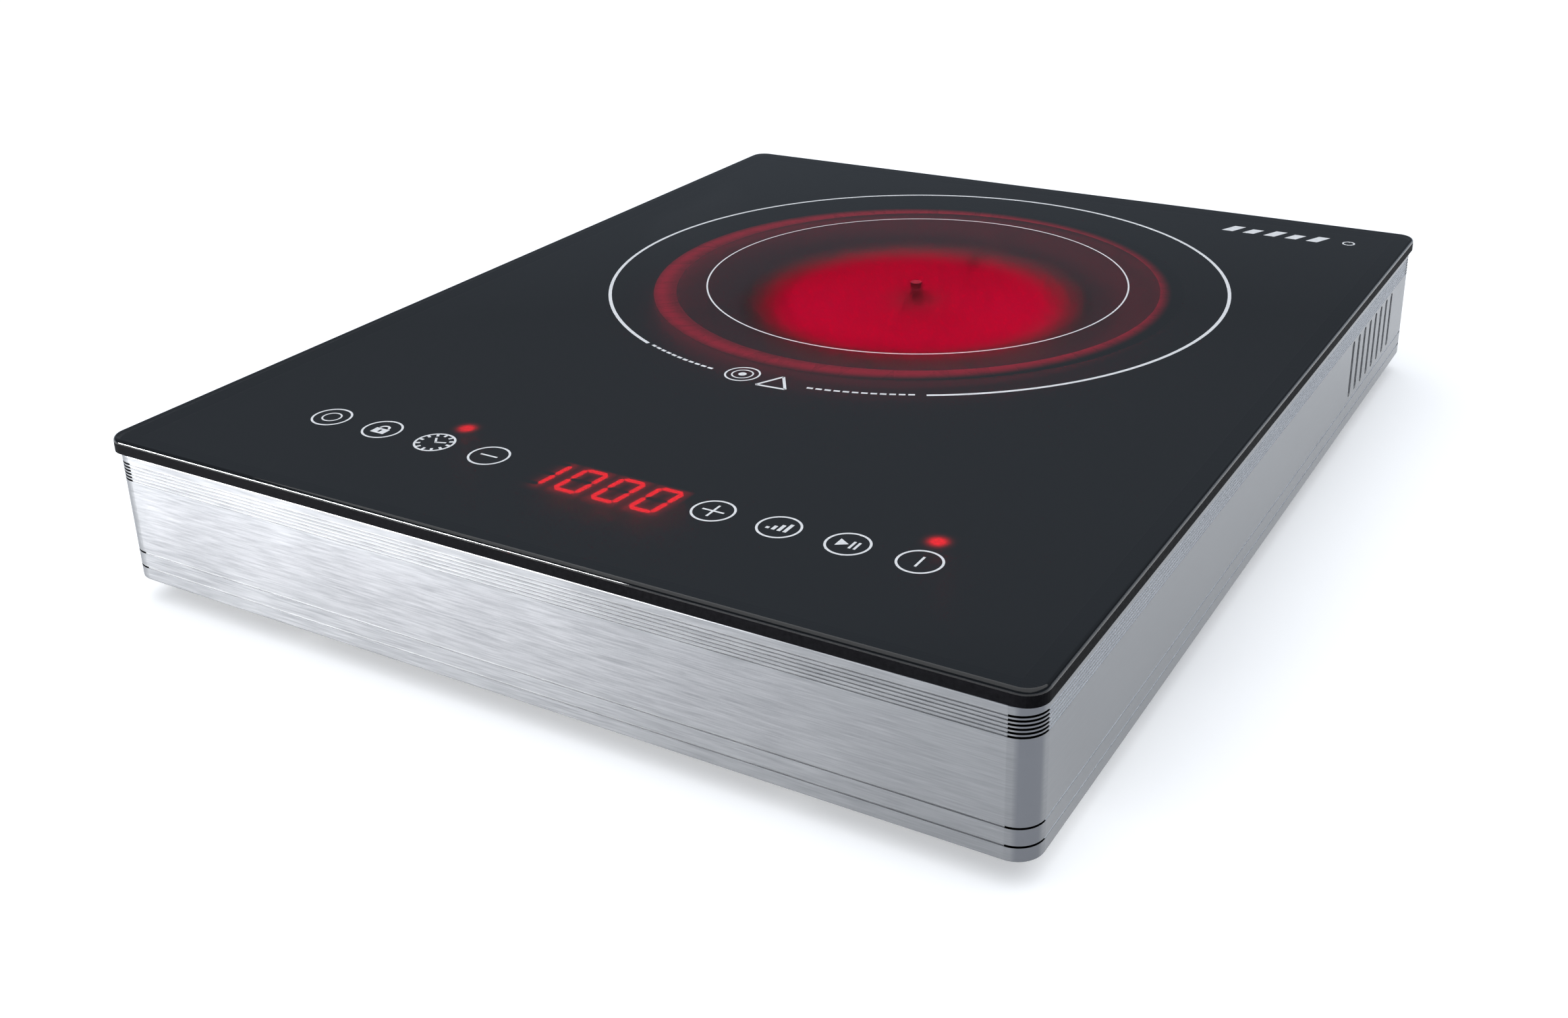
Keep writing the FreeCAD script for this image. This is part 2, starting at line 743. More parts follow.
def make_rails():
    """Four grooved aluminium extrusions with a flange along the top and the bottom."""
    ring = new_band("rail", "groove_depth")
    add_ledges(ring, "top_ledges", f"{FRAME_TOP} - ledge_thickness")
    add_ledges(ring, "bottom_ledges", BASE_TOP)
    vents = new_sketch(ring, "vent_slot", "YZ_Plane")
    first_vent = "plate_depth / 2 - vent_inset - vent_pitch * (vent_count - 1) / 2"
    add_slot(vents, first_vent, "foot_height + vent_rise", "vent_length", "vent_width")
    vent = add_pocket(ring, vents, both_ways=True)
    add_line_pattern(ring, vent, "Y_Axis", "vent_count", "vent_pitch")
    inlet = new_sketch(ring, "inlet_hole", "XZ_Plane")
    add_circle(inlet, "-inlet_x", INLET_Z, "inlet_sleeve_radius")
    add_pocket(ring, inlet)
    holes = new_sketch(ring, "ledge_holes", height=f"{BASE_TOP} + ledge_thickness")
    for x, y in BASE_SCREWS:
        add_circle(holes, x, y, "thin_screw_radius")
    add_pocket(ring, holes, "ledge_thickness")
    depth = "(frame_wall + ledge_width)"
    run_x = f"(2 * ({FRAME_HALF_WIDTH} - frame_radius))"
    run_y = f"(2 * ({FRAME_HALF_DEPTH} - frame_radius))"
    for name, side in (("left_rail", -1), ("right_rail", 1)):
        x = f"{side} * ({FRAME_HALF_WIDTH} - {depth} / 2)"
        stretch = block(name + "_box", x, "0", "foot_height", depth, run_y, "frame_height")
        keep(shared(name + "_cut", ring, stretch), name)
    for name, end in (("front_rail", -1), ("rear_rail", 1)):
        y = f"{end} * ({FRAME_HALF_DEPTH} - {depth} / 2)"
        stretch = block(name + "_box", "0", y, "foot_height", run_x, depth, "frame_height")
        keep(shared(name + "_cut", ring, stretch), name)


def make_corners():
    """Round corner posts between the rails, and the keys pressed into the rails behind them."""
    posts = new_band("post", "corner_groove_depth")
    keep_corners("corner_posts", posts, "frame_radius", "foot_height", "frame_height")
    ring = new_body("key_ring")
    foot = f"({BASE_TOP} + ledge_thickness)"
    height = f"({FRAME_TOP} - ledge_thickness - {foot})"
    sketch = new_sketch(ring, "key_outline", height=foot)
    add_rounded_rectangle(sketch, INNER_HALF_WIDTH, INNER_HALF_DEPTH, "frame_radius - frame_wall")
    add_rounded_rectangle(
        sketch,
        f"{INNER_HALF_WIDTH} - key_thickness",
        f"{INNER_HALF_DEPTH} - key_thickness",
        "frame_radius - frame_wall - key_thickness",
    )
    add_pad(ring, sketch, height)
    keep_corners("corner_keys", ring, "key_length", foot, height)


def make_base_plate():
    """Steel plate that closes the underside, with air slots and all its screw holes."""
    body = new_body("base_plate")
    sketch = new_sketch(body, "base_outline", height=BASE_UNDERSIDE)
    half_width = f"{INNER_HALF_WIDTH} - base_gap"
    half_depth = f"{INNER_HALF_DEPTH} - base_gap"
    add_rounded_rectangle(sketch, half_width, half_depth, "frame_radius - frame_wall")
    for x, y in BASE_SCREWS + [(x, y) for x, y, side in BRACKETS] + CARRIER_LEGS + SPACERS:
        add_circle(sketch, x, y, "thin_screw_radius + hole_gap")
    for x, y in FEET:
        add_circle(sketch, x, y, "foot_screw_radius + hole_gap")
    for x, y in FAN_SCREWS:
        add_circle(sketch, x, y, "fan_hole_radius")
    for ring in range(2):
        reach = f"(fan_vent_radius + fan_vent_pitch * {ring})"
        for index in range(int(number("fan_vent_count"))):
            turn = f"(360 / fan_vent_count * ({index} + {ring} / 2) * 1 deg)"
            hole_x = f"{FAN_X} + {reach} * cos{turn}"
            hole_y = f"{FAN_Y} + {reach} * sin{turn}"
            add_circle(sketch, hole_x, hole_y, "fan_vent_hole")
    add_pad(body, sketch, "base_thickness")
    slots = new_sketch(body, "base_slot", height=BASE_TOP)
    first_slot = "-base_slot_pitch * (base_slot_count - 1) / 2"
    add_slot(slots, first_slot, CONTROL_Y, "base_slot_length", "base_slot_width")
    slot = add_pocket(body, slots, "base_thickness")
    add_line_pattern(body, slot, "X_Axis", "base_slot_count", "base_slot_pitch")
    keep(body, "base_plate")


def make_base_screws():
    """Self-tapping screws that hold the base plate to the frame's bottom ledges."""
    screws = []
    for index, (x, y) in enumerate(BASE_SCREWS):
        screws.append(screw(
            f"base_screw_{index}", x, y, BASE_UNDERSIDE, "thin_head_radius", "thin_head_height",
            "thin_screw_radius", "base_thickness + ledge_thickness + base_screw_end",
        ))
    group("base_screws", screws)


def make_feet():
    """Four rubber feet, each on a machine screw with a nut inside the base."""
    feet = []
    screws = []
    nuts = []
    for index, (x, y) in enumerate(FEET):
        cone = doc.addObject("Part::Cone", f"foot_cone_{index}")
        bind(cone, Radius1="foot_radius - foot_taper", Radius2="foot_radius", Height=BASE_UNDERSIDE)
        place(cone, x, y, "0")
        recess = disc(f"foot_recess_{index}", x, y, "0", "foot_recess_radius", "foot_recess_depth")
        bore = disc(f"foot_bore_{index}", x, y, "0", "foot_screw_radius", BASE_UNDERSIDE)
        feet.append(less(f"foot_{index}", cone, [recess, bore]))
        length = f"{BASE_TOP} - foot_recess_depth + nut_height + foot_screw_end"
        screws.append(screw(
            f"foot_screw_{index}", x, y, "foot_recess_depth", "foot_head_radius", "foot_head_height",
            "foot_screw_radius", length,
        ))
        hexagon = doc.addObject("Part::Prism", f"nut_blank_{index}")
        bind(hexagon, Circumradius="nut_width / sqrt(3)", Height="nut_height")
        place(hexagon, x, y, BASE_TOP)
        thread = disc(f"nut_thread_{index}", x, y, BASE_TOP, "foot_screw_radius", "nut_height")
        nuts.append(less(f"nut_{index}", hexagon, [thread]))
    group("rubber_feet", feet)
    group("foot_screws", screws)
    group("foot_nuts", nuts)


def make_cord_grommet():
    """Rubber inlet for the supply cord in the rear wall."""
    body = new_body("cord_grommet")
    sketch = new_sketch(body, "grommet_profile", "XY_Plane")
    wall = "frame_wall"
    tail = f"-{wall} - inlet_collar_thickness - inlet_tail"
    add_outline(sketch, [
        ("inlet_bore_radius", tail),
        ("inlet_sleeve_radius - inlet_tail_taper", tail),
        ("inlet_sleeve_radius", f"-{wall} - inlet_collar_thickness"),
        ("inlet_flange_radius", f"-{wall} - inlet_collar_thickness"),
        ("inlet_flange_radius", f"-{wall}"),
        ("inlet_sleeve_radius", f"-{wall}"),
        ("inlet_sleeve_radius", "0"),
        ("inlet_flange_radius", "0"),
        ("inlet_flange_radius - inlet_flange_bevel", "inlet_flange_proud"),
        ("inlet_bore_radius", "inlet_flange_proud"),
    ])
    add_revolution(body, sketch)
    place(body, "-inlet_x", FRAME_HALF_DEPTH, INLET_Z)
    keep(body, "cord_grommet")


def turned(name, corners, x="0", y="0", z="0"):
    """Body turned round an upright axis at x, y."""
    body = new_body(name)
    sketch = new_sketch(body, name + "_profile", "XZ_Plane")
    add_outline(sketch, corners)
    add_revolution(body, sketch)
    place(body, x, y, z)
    return body


def make_heater_pan():
    """Shallow steel pan that holds the insulation and hangs under the glass."""
    inner = "heater_radius - pan_wall"
    rim = f"{GLASS_UNDERSIDE} - pan_rim_drop"
    corners = [
        ("sensor_radius + hole_gap", PAN_UNDERSIDE),
        ("heater_radius", PAN_UNDERSIDE),
        ("heater_radius", rim),
        (inner, rim),
        (inner, PAN_INSIDE),
        ("sensor_radius + hole_gap", PAN_INSIDE),
    ]
    keep(turned("heater_pan", corners, y=HEATER_Y), "heater_pan")


def make_insulation():
    """Pressed microporous base with its outer ring and the ring between the circuits."""
    edge = "heater_radius - pan_wall - insulation_gap"
    base = [
        ("sensor_radius + hole_gap", PAN_INSIDE),
        (edge, PAN_INSIDE),
        (edge, RIBBON_FLOOR),
        ("sensor_radius + hole_gap", RIBBON_FLOOR),
    ]
    keep(turned("insulation_base", base, y=HEATER_Y), "insulation_base")
    ring = turned(
        "rim_ring",
        [
            (f"{edge} - rim_width", RIBBON_FLOOR),
            (edge, RIBBON_FLOOR),
            (edge, GLASS_UNDERSIDE),
            (f"{edge} - rim_width", GLASS_UNDERSIDE),
        ],
        y=HEATER_Y,
    )
    passage = limiter_rod(
        "limiter_passage", "limiter_rod_radius + hole_gap", "heater_radius", "limiter_reach"
    )
    keep(less("insulation_rim_cut", ring, [passage]), "insulation_rim")
    divider = [
        (DIVIDER_RADIUS, RIBBON_FLOOR),
        (f"{DIVIDER_RADIUS} + divider_width", RIBBON_FLOOR),
        (f"{DIVIDER_RADIUS} + divider_width", f"{RIBBON_FLOOR} + divider_height"),
        (DIVIDER_RADIUS, f"{RIBBON_FLOOR} + divider_height"),
    ]
    keep(turned("insulation_divider", divider, y=HEATER_Y), "insulation_divider")


def limiter_rod(name, radius, outer_reach, length):
    """Level cylinder along the limiter's direction, from a reach inwards by a length."""
    turn = number("limiter_angle")
    lay = FreeCAD.Rotation(FreeCAD.Vector(0, 0, 1), turn) * FreeCAD.Rotation(FreeCAD.Vector(0, 1, 0), 90)
    inner_reach = f"({outer_reach} - ({length}))"
    return disc(
        name,
        f"{inner_reach} * cos(limiter_angle * 1 deg)",
        f"{HEATER_Y} + {inner_reach} * sin(limiter_angle * 1 deg)",
        f"{GLASS_UNDERSIDE} - limiter_rod_drop",
        radius,
        length,
        lay,
    )


def ribbon(name, start, turns, pitch):
    """Resistance ribbon on edge: open rings joined end to end from the middle outwards."""
    thickness = number("ribbon_thickness")
    height = number("ribbon_height")
    floor = FreeCAD.Vector(0, number(HEATER_Y), number(RIBBON_FLOOR))
    up = FreeCAD.Vector(0, 0, 1)
    half_mouth = number(start) * math.sin(math.radians(number("ribbon_gap_angle")) / 2)
    radii = [number(start) + turn * number(pitch) for turn in range(int(number(turns)))]
    strips = []
    for radius in radii:
        outer = Part.makeCylinder(radius + thickness / 2, height, floor, up, 360)
        inner = Part.makeCylinder(radius - thickness / 2, height, floor, up, 360)
        mouth = Part.makeBox(2 * half_mouth, 2 * thickness + half_mouth, height)
        mouth.translate(floor + FreeCAD.Vector(-half_mouth, radius - half_mouth, 0))
        strips.append(outer.cut(inner).cut(mouth))
    for turn, (radius, following) in enumerate(zip(radii, radii[1:])):
        side = 1 if turn % 2 else -1
        offset = side * (half_mouth + thickness)
        low = math.sqrt(radius ** 2 - offset ** 2)
        high = math.sqrt(following ** 2 - offset ** 2)
        bridge = Part.makeBox(thickness, high - low, height)
        bridge.translate(floor + FreeCAD.Vector(offset - thickness / 2, low, 0))
        strips.append(bridge)
    piece = doc.addObject("Part::Feature", name + "_strip")
    piece.Shape = strips[0].multiFuse(strips[1:]).removeSplitter()
    keep(piece, name)


def make_sensor():
    """Ceramic post through the middle of the heater, with a sensing bead against the glass."""
    post_top = f"{GLASS_UNDERSIDE} - sensor_top_drop"
    post = [
        ("bead_radius", f"{PAN_UNDERSIDE} - sensor_tail"),
        ("sensor_radius", f"{PAN_UNDERSIDE} - sensor_tail"),
        ("sensor_radius", f"{PAN_UNDERSIDE} - sensor_flange_height"),
        ("sensor_flange_radius", f"{PAN_UNDERSIDE} - sensor_flange_height"),
        ("sensor_flange_radius", PAN_UNDERSIDE),
        ("sensor_radius", PAN_UNDERSIDE),
        ("sensor_radius", post_top),
        ("bead_radius", post_top),
    ]
    keep(turned("sensor_post", post, y=HEATER_Y), "sensor_post")
    bead_foot = f"{PAN_UNDERSIDE} - sensor_tail"
    bead = disc("bead", "0", HEATER_Y, bead_foot, "bead_radius", f"{GLASS_UNDERSIDE} - ({bead_foot})")
    keep(bead, "sensor_bead")


def make_limiter():
    """Rod-type temperature limiter: a quartz tube in the outer circuit and its switch head."""
    rod = limiter_rod("limiter_tube", "limiter_rod_radius", "(heater_radius - pan_wall)", "limiter_reach")
    keep(rod, "limiter_rod")
    turn = number("limiter_angle")
    head = doc.addObject("Part::Box", "limiter_blank")
    bind(head, Length="limiter_head_length", Width="limiter_head_width", Height="limiter_head_height")
    head.Placement.Rotation = FreeCAD.Rotation(FreeCAD.Vector(0, 0, 1), turn)
    inner = "(heater_radius - pan_bite)"
    across = "cos(limiter_angle * 1 deg)"
    along = "sin(limiter_angle * 1 deg)"
    place(
        head,
        f"{inner} * {across} + limiter_head_width / 2 * {along}",
        f"{HEATER_Y} + {inner} * {along} - limiter_head_width / 2 * {across}",
        f"{GLASS_UNDERSIDE} - limiter_rod_drop - limiter_head_height / 2 - limiter_head_drop",
    )
    depth = "rim_height + insulation_thickness"
    clear = disc("limiter_clear", "0", HEATER_Y, PAN_INSIDE, "heater_radius", depth)
    keep(less("limiter_head", head, [clear]), "limiter_head")


def make_terminal_block():
    """Ceramic block on the left of the pan with four push-on tabs."""
    level = PAN_INSIDE
    reach = "(pan_bite / 2 - heater_radius - terminal_length / 2)"
    blank = block(
        "terminal_blank", reach, HEATER_Y, level, "terminal_length + pan_bite", "terminal_width",
        "terminal_height",
    )
    clear = disc("terminal_clear", "0", HEATER_Y, level, "heater_radius", "terminal_height")
    keep(less("terminal_block_cut", blank, [clear]), "terminal_block")
    tabs = []
    for index in range(int(number("tab_count"))):
        y = f"({HEATER_Y} + tab_pitch * ({index} - (tab_count - 1) / 2))"
        tabs.append(block(
            f"tab_{index}", "(-heater_radius - terminal_length / 2)", y, f"{level} + terminal_height",
            "tab_width", "tab_thickness", "tab_height",
        ))
    group("terminal_tabs", tabs)


def make_brackets():
    """Four springy strips that stand on the base plate and press the pan up to the glass."""
    brackets = []
    screws = []
    drop = f"({PAN_UNDERSIDE} - {BASE_TOP})"
    for index, (x, y, side) in enumerate(BRACKETS):
        riser_x = f"({x} - {side} * (bracket_reach / 2))"
        tongue_x = f"({riser_x} - {side} * (bracket_reach / 2 - bracket_thickness / 2))"
        foot = block(
            f"bracket_foot_{index}", x, y, BASE_TOP, "bracket_reach", "bracket_width", "bracket_thickness"
        )
        hole = disc(f"bracket_hole_{index}", x, y, BASE_TOP, "thin_screw_radius", "bracket_thickness")
        riser = block(
            f"bracket_riser_{index}", riser_x, y, BASE_TOP, "bracket_thickness", "bracket_width", drop
        )
        tongue = block(
            f"bracket_tongue_{index}", tongue_x, y, f"{PAN_UNDERSIDE} - bracket_thickness",
            "bracket_reach", "bracket_width", "bracket_thickness",
        )
        strip = joined(f"bracket_strip_{index}", [foot, riser, tongue])
        brackets.append(less(f"bracket_{index}", strip, [hole]))
        screws.append(screw(
            f"bracket_screw_{index}", x, y, BASE_UNDERSIDE, "thin_head_radius", "thin_head_height",
            "thin_screw_radius", "base_thickness + bracket_thickness + bracket_screw_end",
        ))
    group("pan_brackets", brackets)
    group("bracket_screws", screws)


def make_fan_housing():
    """Square moulded frame with a round duct, four struts and a bush for the shaft."""
    body = new_body("fan_housing")
    sketch = new_sketch(body, "fan_outline")
    add_rounded_rectangle(sketch, "fan_size / 2", "fan_size / 2", "fan_corner_radius")
    add_circle(sketch, "0", "0", "fan_bore_radius")
    for x in ("-fan_hole_spread", "fan_hole_spread"):
        for y in ("-fan_hole_spread", "fan_hole_spread"):
            add_circle(sketch, x, y, "fan_hole_radius")
    add_pad(body, sketch, "fan_depth")
    hub = new_sketch(body, "fan_hub_plate")
    add_circle(hub, "0", "0", "fan_hub_radius")
    add_pad(body, hub, "fan_floor")
    struts = new_sketch(body, "fan_strut")
    strut_start = "fan_hub_radius - fan_strut_bite"
    strut_end = "fan_bore_radius + fan_strut_bite"
    add_rectangle(struts, strut_start, "-fan_strut_width / 2", strut_end, "fan_strut_width / 2")
    strut = add_pad(body, struts, "fan_floor")
    pattern = body.newObject("PartDesign::PolarPattern", "fan_struts")
    pattern.Originals = [strut]
    pattern.Axis = (origin_feature(body, "Z_Axis"), [""])
    pattern.Angle = 360
    bind(pattern, Occurrences="fan_strut_count")
    body.Tip = pattern
    doc.recompute()
    boss = new_sketch(body, "fan_boss", height="fan_floor")
    add_circle(boss, "0", "0", "fan_boss_radius")
    add_pad(body, boss, f"{FAN_ROTOR_TOP} - fan_hub_wall - fan_end_gap - fan_floor")
    bush = new_sketch(body, "fan_bush", height="fan_depth")
    add_circle(bush, "0", "0", "fan_shaft_radius + fan_shaft_gap")
    add_pocket(body, bush, "fan_depth - fan_floor")
    place(body, FAN_X, FAN_Y, BASE_TOP)
    keep(body, "fan_housing")


def make_fan_rotor():
    """Hub cup with its shaft and seven pitched blades, the only piece that turns."""
    height = "(fan_depth - fan_floor - 2 * fan_end_gap)"
    foot = f"({BASE_TOP} + fan_floor + fan_end_gap)"
    top = f"({BASE_TOP} + {FAN_ROTOR_TOP})"
    cup = disc("rotor_cup", FAN_X, FAN_Y, foot, "fan_hub_radius", height)
    hollow = disc(
        "rotor_hollow", FAN_X, FAN_Y, foot, "fan_hub_radius - fan_hub_wall", f"{height} - fan_hub_wall"
    )
    shaft = disc(
        "rotor_shaft", FAN_X, FAN_Y, f"{foot} + fan_end_gap", "fan_shaft_radius", f"{height} - fan_end_gap"
    )
    tip = disc("rotor_tip", FAN_X, FAN_Y, foot, "fan_bore_radius - fan_tip_gap", height)
    core = disc("rotor_core", FAN_X, FAN_Y, foot, "fan_hub_radius - fan_hub_wall / 2", height)
    envelope = less("rotor_envelope", tip, [core])
    centre = FreeCAD.Vector(number(FAN_X), number(FAN_Y), (number(foot) + number(top)) / 2)
    chord = number("fan_blade_chord")
    thickness = number("fan_blade_thickness")
    blades = []
    count = int(number("fan_blade_count"))
    pitch = FreeCAD.Rotation(FreeCAD.Vector(1, 0, 0), number("fan_blade_pitch"))
    for index in range(count):
        spin = FreeCAD.Rotation(FreeCAD.Vector(0, 0, 1), 360 / count * index)
        blade = doc.addObject("Part::Box", f"blade_{index}")
        bind(blade, Length="fan_bore_radius", Width="fan_blade_chord", Height="fan_blade_thickness")
        turn = spin * pitch
        corner = turn.multVec(FreeCAD.Vector(0, -chord / 2, -thickness / 2))
        blade.Placement = FreeCAD.Placement(centre + corner, turn)
        blades.append(blade)
    trimmed = shared("rotor_blades", joined("blade_set", blades), envelope)
    piece = joined("rotor", [less("rotor_shell", cup, [hollow]), shaft, trimmed])
    keep(piece, "fan_rotor")


def make_fan_stator():
    """Laminated core with its windings, pressed on the housing's boss inside the hub cup."""
    outer = "fan_hub_radius - fan_hub_wall - fan_stator_gap"
    foot = "fan_floor"
    head = f"{FAN_ROTOR_TOP} - fan_hub_wall - fan_end_gap - fan_stator_gap"
    corners = [
        ("fan_boss_radius", foot),
        (f"{outer} - fan_stator_bevel", foot),
        (outer, f"{foot} + fan_stator_bevel"),
        (outer, f"{head} - fan_stator_bevel"),
        (f"{outer} - fan_stator_bevel", head),
        ("fan_boss_radius", head),
    ]
    keep(turned("fan_stator", corners, FAN_X, FAN_Y, BASE_TOP), "fan_stator")


def make_fan_screws():
    """Long screws up through the base plate into the corners of the fan."""
    screws = []
    for index, (x, y) in enumerate(FAN_SCREWS):
        screws.append(screw(
            f"fan_screw_{index}", x, y, BASE_UNDERSIDE, "fan_head_radius", "fan_head_height",
            "fan_screw_radius", "base_thickness + fan_depth - fan_screw_drop",
        ))
    group("fan_screws", screws)


def display_pins(name, radius, foot, length):
    """Twelve upright pins in two rows under the display."""
    pins = []
    for row in (-1, 1):
        for column in range(int(number("display_pin_columns"))):
            x = f"(display_pin_pitch * ({column} - (display_pin_columns - 1) / 2))"
            y = f"({CONTROL_Y} + {row} * (display_depth / 2 - display_pin_inset))"
            pins.append(disc(f"{name}_{row + 1}_{column}", x, y, foot, radius, length))
    return pins


def make_control_board():
    """Touch board on its moulded carrier, with the screws that hold both."""
    board = block(
        "control_blank", "0", CONTROL_Y, CARRIER_TOP, "control_width", "control_depth", "board_thickness"
    )
    board_holes = display_pins("pin_hole", "display_pin_radius", CARRIER_TOP, "board_thickness")
    carrier_holes = []
    legs = []
    low_screws = []
    high_screws = []
    leg_height = f"({CARRIER_TOP} - {BASE_TOP})"
    deck = block(
        "carrier_deck", "0", CONTROL_Y, f"{CARRIER_TOP} - carrier_thickness",
        "control_width", "control_depth", "carrier_thickness",
    )
    for index, (x, y) in enumerate(CARRIER_LEGS):
        board_holes.append(disc(
            f"board_hole_{index}", x, y, CARRIER_TOP, "thin_screw_radius + hole_gap", "board_thickness"
        ))
        legs.append(disc(f"leg_{index}", x, y, BASE_TOP, "carrier_leg_radius", leg_height))
        carrier_holes.append(disc(f"leg_hole_{index}", x, y, BASE_TOP, "thin_screw_radius", leg_height))
        low_screws.append(screw(
            f"carrier_screw_{index}", x, y, BASE_UNDERSIDE, "thin_head_radius", "thin_head_height",
            "thin_screw_radius", "base_thickness + carrier_screw_end",
        ))
        high_screws.append(screw(
            f"board_screw_{index}", x, y, CONTROL_TOP, "thin_head_radius", "thin_head_height",
            "thin_screw_radius", "board_thickness + board_screw_end", upward=False,
        ))
    window = block(
        "carrier_window", "0", CONTROL_Y, f"{CARRIER_TOP} - carrier_thickness",
        "display_width", "display_depth", "carrier_thickness",
    )
    keep(less("control_board_cut", board, board_holes), "control_board")
    blank = joined("carrier_blank", [deck] + legs)
    keep(less("carrier", blank, carrier_holes + [window]), "control_carrier")
    group("carrier_screws", low_screws)
    group("board_screws", high_screws)


def make_touch_springs():
    """Coil springs that carry each key's charge from the board up to the glass."""
    springs = []
    start = f"{CONTROL_TOP} + spring_wire"
    rise = "(spring_height - 2 * spring_wire)"
    for index, x in enumerate(KEYS):
        path = doc.addObject("Part::Helix", f"spring_path_{index}")
        bind(path, Radius="spring_radius", Height=rise, Pitch=f"{rise} / spring_turns")
        place(path, x, CONTROL_Y, start)
        section = doc.addObject("Part::Circle", f"spring_wire_{index}")
        bind(section, Radius="spring_wire")
        section.Placement.Rotation = FreeCAD.Rotation(FreeCAD.Vector(1, 0, 0), 90)
        place(section, f"{x} + spring_radius", CONTROL_Y, start)
        doc.recompute()
        coil = doc.addObject("Part::Sweep", f"spring_{index}")
        coil.Sections = [section]
        coil.Spine = (path, [f"Edge{count}" for count in range(1, len(path.Shape.Edges) + 1)])
        coil.Solid = True
        coil.Frenet = True
        springs.append(coil)
    group("touch_springs", springs)


def make_display():
    """Four-digit light-segment module on its pins, with the two indicator lamps."""
    height = "spring_height - display_drop"
    case = block("display_case", "0", CONTROL_Y, CONTROL_TOP, "display_width", "display_depth", height)
    pins = display_pins(
        "display_pin", "display_pin_radius", f"{CONTROL_TOP} - display_pin_length", "display_pin_length"
    )
    keep(joined("display", [case] + pins), "display_module")
    lamps = []
    for index, x in enumerate(("-timer_led_x", "power_led_x")):
        y = f"({CONTROL_Y} + led_offset)"
        barrel = disc(f"lamp_barrel_{index}", x, y, CONTROL_TOP, "led_radius", "led_height - led_radius")
        dome = doc.addObject("Part::Sphere", f"lamp_dome_{index}")
        bind(dome, Radius="led_radius")
        place(dome, x, y, f"{CONTROL_TOP} + led_height - led_radius")
        flange = disc(f"lamp_flange_{index}", x, y, CONTROL_TOP, "led_flange_radius", "led_flange_height")
        lamps.append(joined(f"lamp_{index}", [barrel, dome, flange]))
    group("indicator_lamps", lamps)


def make_buzzer():
    """Round buzzer with a sound hole, on the touch board."""
    y = f"({CONTROL_Y} + buzzer_y)"
    can = disc("buzzer_can", "-buzzer_x", y, CONTROL_TOP, "buzzer_radius", "buzzer_height")
    hole = disc(
        "buzzer_hole", "-buzzer_x", y, f"{CONTROL_TOP} + buzzer_height / 2", "buzzer_hole_radius",
        "buzzer_height / 2",
    )
    keep(less("buzzer_cut", can, [hole]), "buzzer")


def make_power_board():
    """Power board on four spacers, held from below by screws."""
    board = block(
        "power_blank", "0", CONTROL_Y, POWER_UNDERSIDE, "power_width", "power_depth", "board_thickness"
    )
    holes = []
    spacers = []
    screws = []
    for index, (x, y) in enumerate(SPACERS):
        holes.append(disc(
            f"power_hole_{index}", x, y, POWER_UNDERSIDE, "thin_screw_radius", "board_thickness"
        ))
        barrel = disc(f"spacer_barrel_{index}", x, y, BASE_TOP, "spacer_radius", "spacer_height")
        bore = disc(f"spacer_bore_{index}", x, y, BASE_TOP, "thin_screw_radius", "spacer_height")
        spacers.append(less(f"spacer_{index}", barrel, [bore]))
        screws.append(screw(
            f"power_screw_{index}", x, y, BASE_UNDERSIDE, "thin_head_radius", "thin_head_height",
            "thin_screw_radius", "base_thickness + spacer_height + board_thickness + spacer_screw_end",
        ))
    keep(less("power_board_cut", board, holes), "power_board")
    group("board_spacers", spacers)
    group("spacer_screws", screws)


def make_relays():
    """Two sealed relays, one for each heating circuit."""
    relays = []
    for index in range(2):
        relays.append(block(
            f"relay_{index}", f"(-relay_x + relay_pitch * {index})", f"({CONTROL_Y} - relay_y)", POWER_TOP,
            "relay_length", "relay_width", "relay_height",
        ))
    group("relays", relays)


def make_transformer():
    """Small mains transformer: a laminated core round a wound bobbin."""
    core = block(
        "core", "transformer_x", CONTROL_Y, POWER_TOP, "transformer_length", "transformer_width",
        "transformer_core_height",
    )
    coil_z = f"{POWER_TOP} + (transformer_core_height - transformer_coil_height) / 2"
    coil = block(
        "coil", "transformer_x", CONTROL_Y, coil_z, "transformer_coil_length", "transformer_coil_width",
        "transformer_coil_height",
    )
    keep(less("transformer_core_cut", core, [coil]), "transformer_core")
    keep(coil, "transformer_coil")


def make_capacitors():
    """Film capacitor across the mains and the reservoir capacitor of the low-voltage side."""
    film = block(
        "film", "-film_x", f"({CONTROL_Y} - film_y)", POWER_TOP, "film_length", "film_width", "film_height"
    )
    keep(film, "film_capacitor")
    can_y = f"({CONTROL_Y} - reservoir_y)"
    can = disc("can", "reservoir_x", can_y, POWER_TOP, "reservoir_radius", "reservoir_height")
    keep(can, "reservoir_capacitor")


def make_heat_sink():
    """Finned aluminium block with two switching devices screwed flat against it."""
    sink_y = f"({CONTROL_Y} + sink_y + sink_width / 2)"
    web_y = f"({CONTROL_Y} + sink_y + sink_web / 2)"
    web = block("sink_web_bar", "-sink_x", web_y, POWER_TOP, "sink_length", "sink_web", "sink_height")
    fins = []
    spread = "(sink_length - sink_fin_thickness)"
    for index in range(int(number("sink_fin_count"))):
        x = f"(-sink_x + {spread} * ({index} / (sink_fin_count - 1) - 1 / 2))"
        fins.append(block(
            f"fin_{index}", x, sink_y, POWER_TOP, "sink_fin_thickness", "sink_width", "sink_height"
        ))
    keep(joined("sink", [web] + fins), "heat_sink")
    triacs = []
    for index in range(2):
        triacs.append(block(
            f"triac_{index}", f"(-sink_x + triac_pitch * ({index} - 1 / 2))",
            f"({CONTROL_Y} + sink_y - triac_thickness / 2)", POWER_TOP,
            "triac_width", "triac_thickness", "triac_height",
        ))
    group("triacs", triacs)


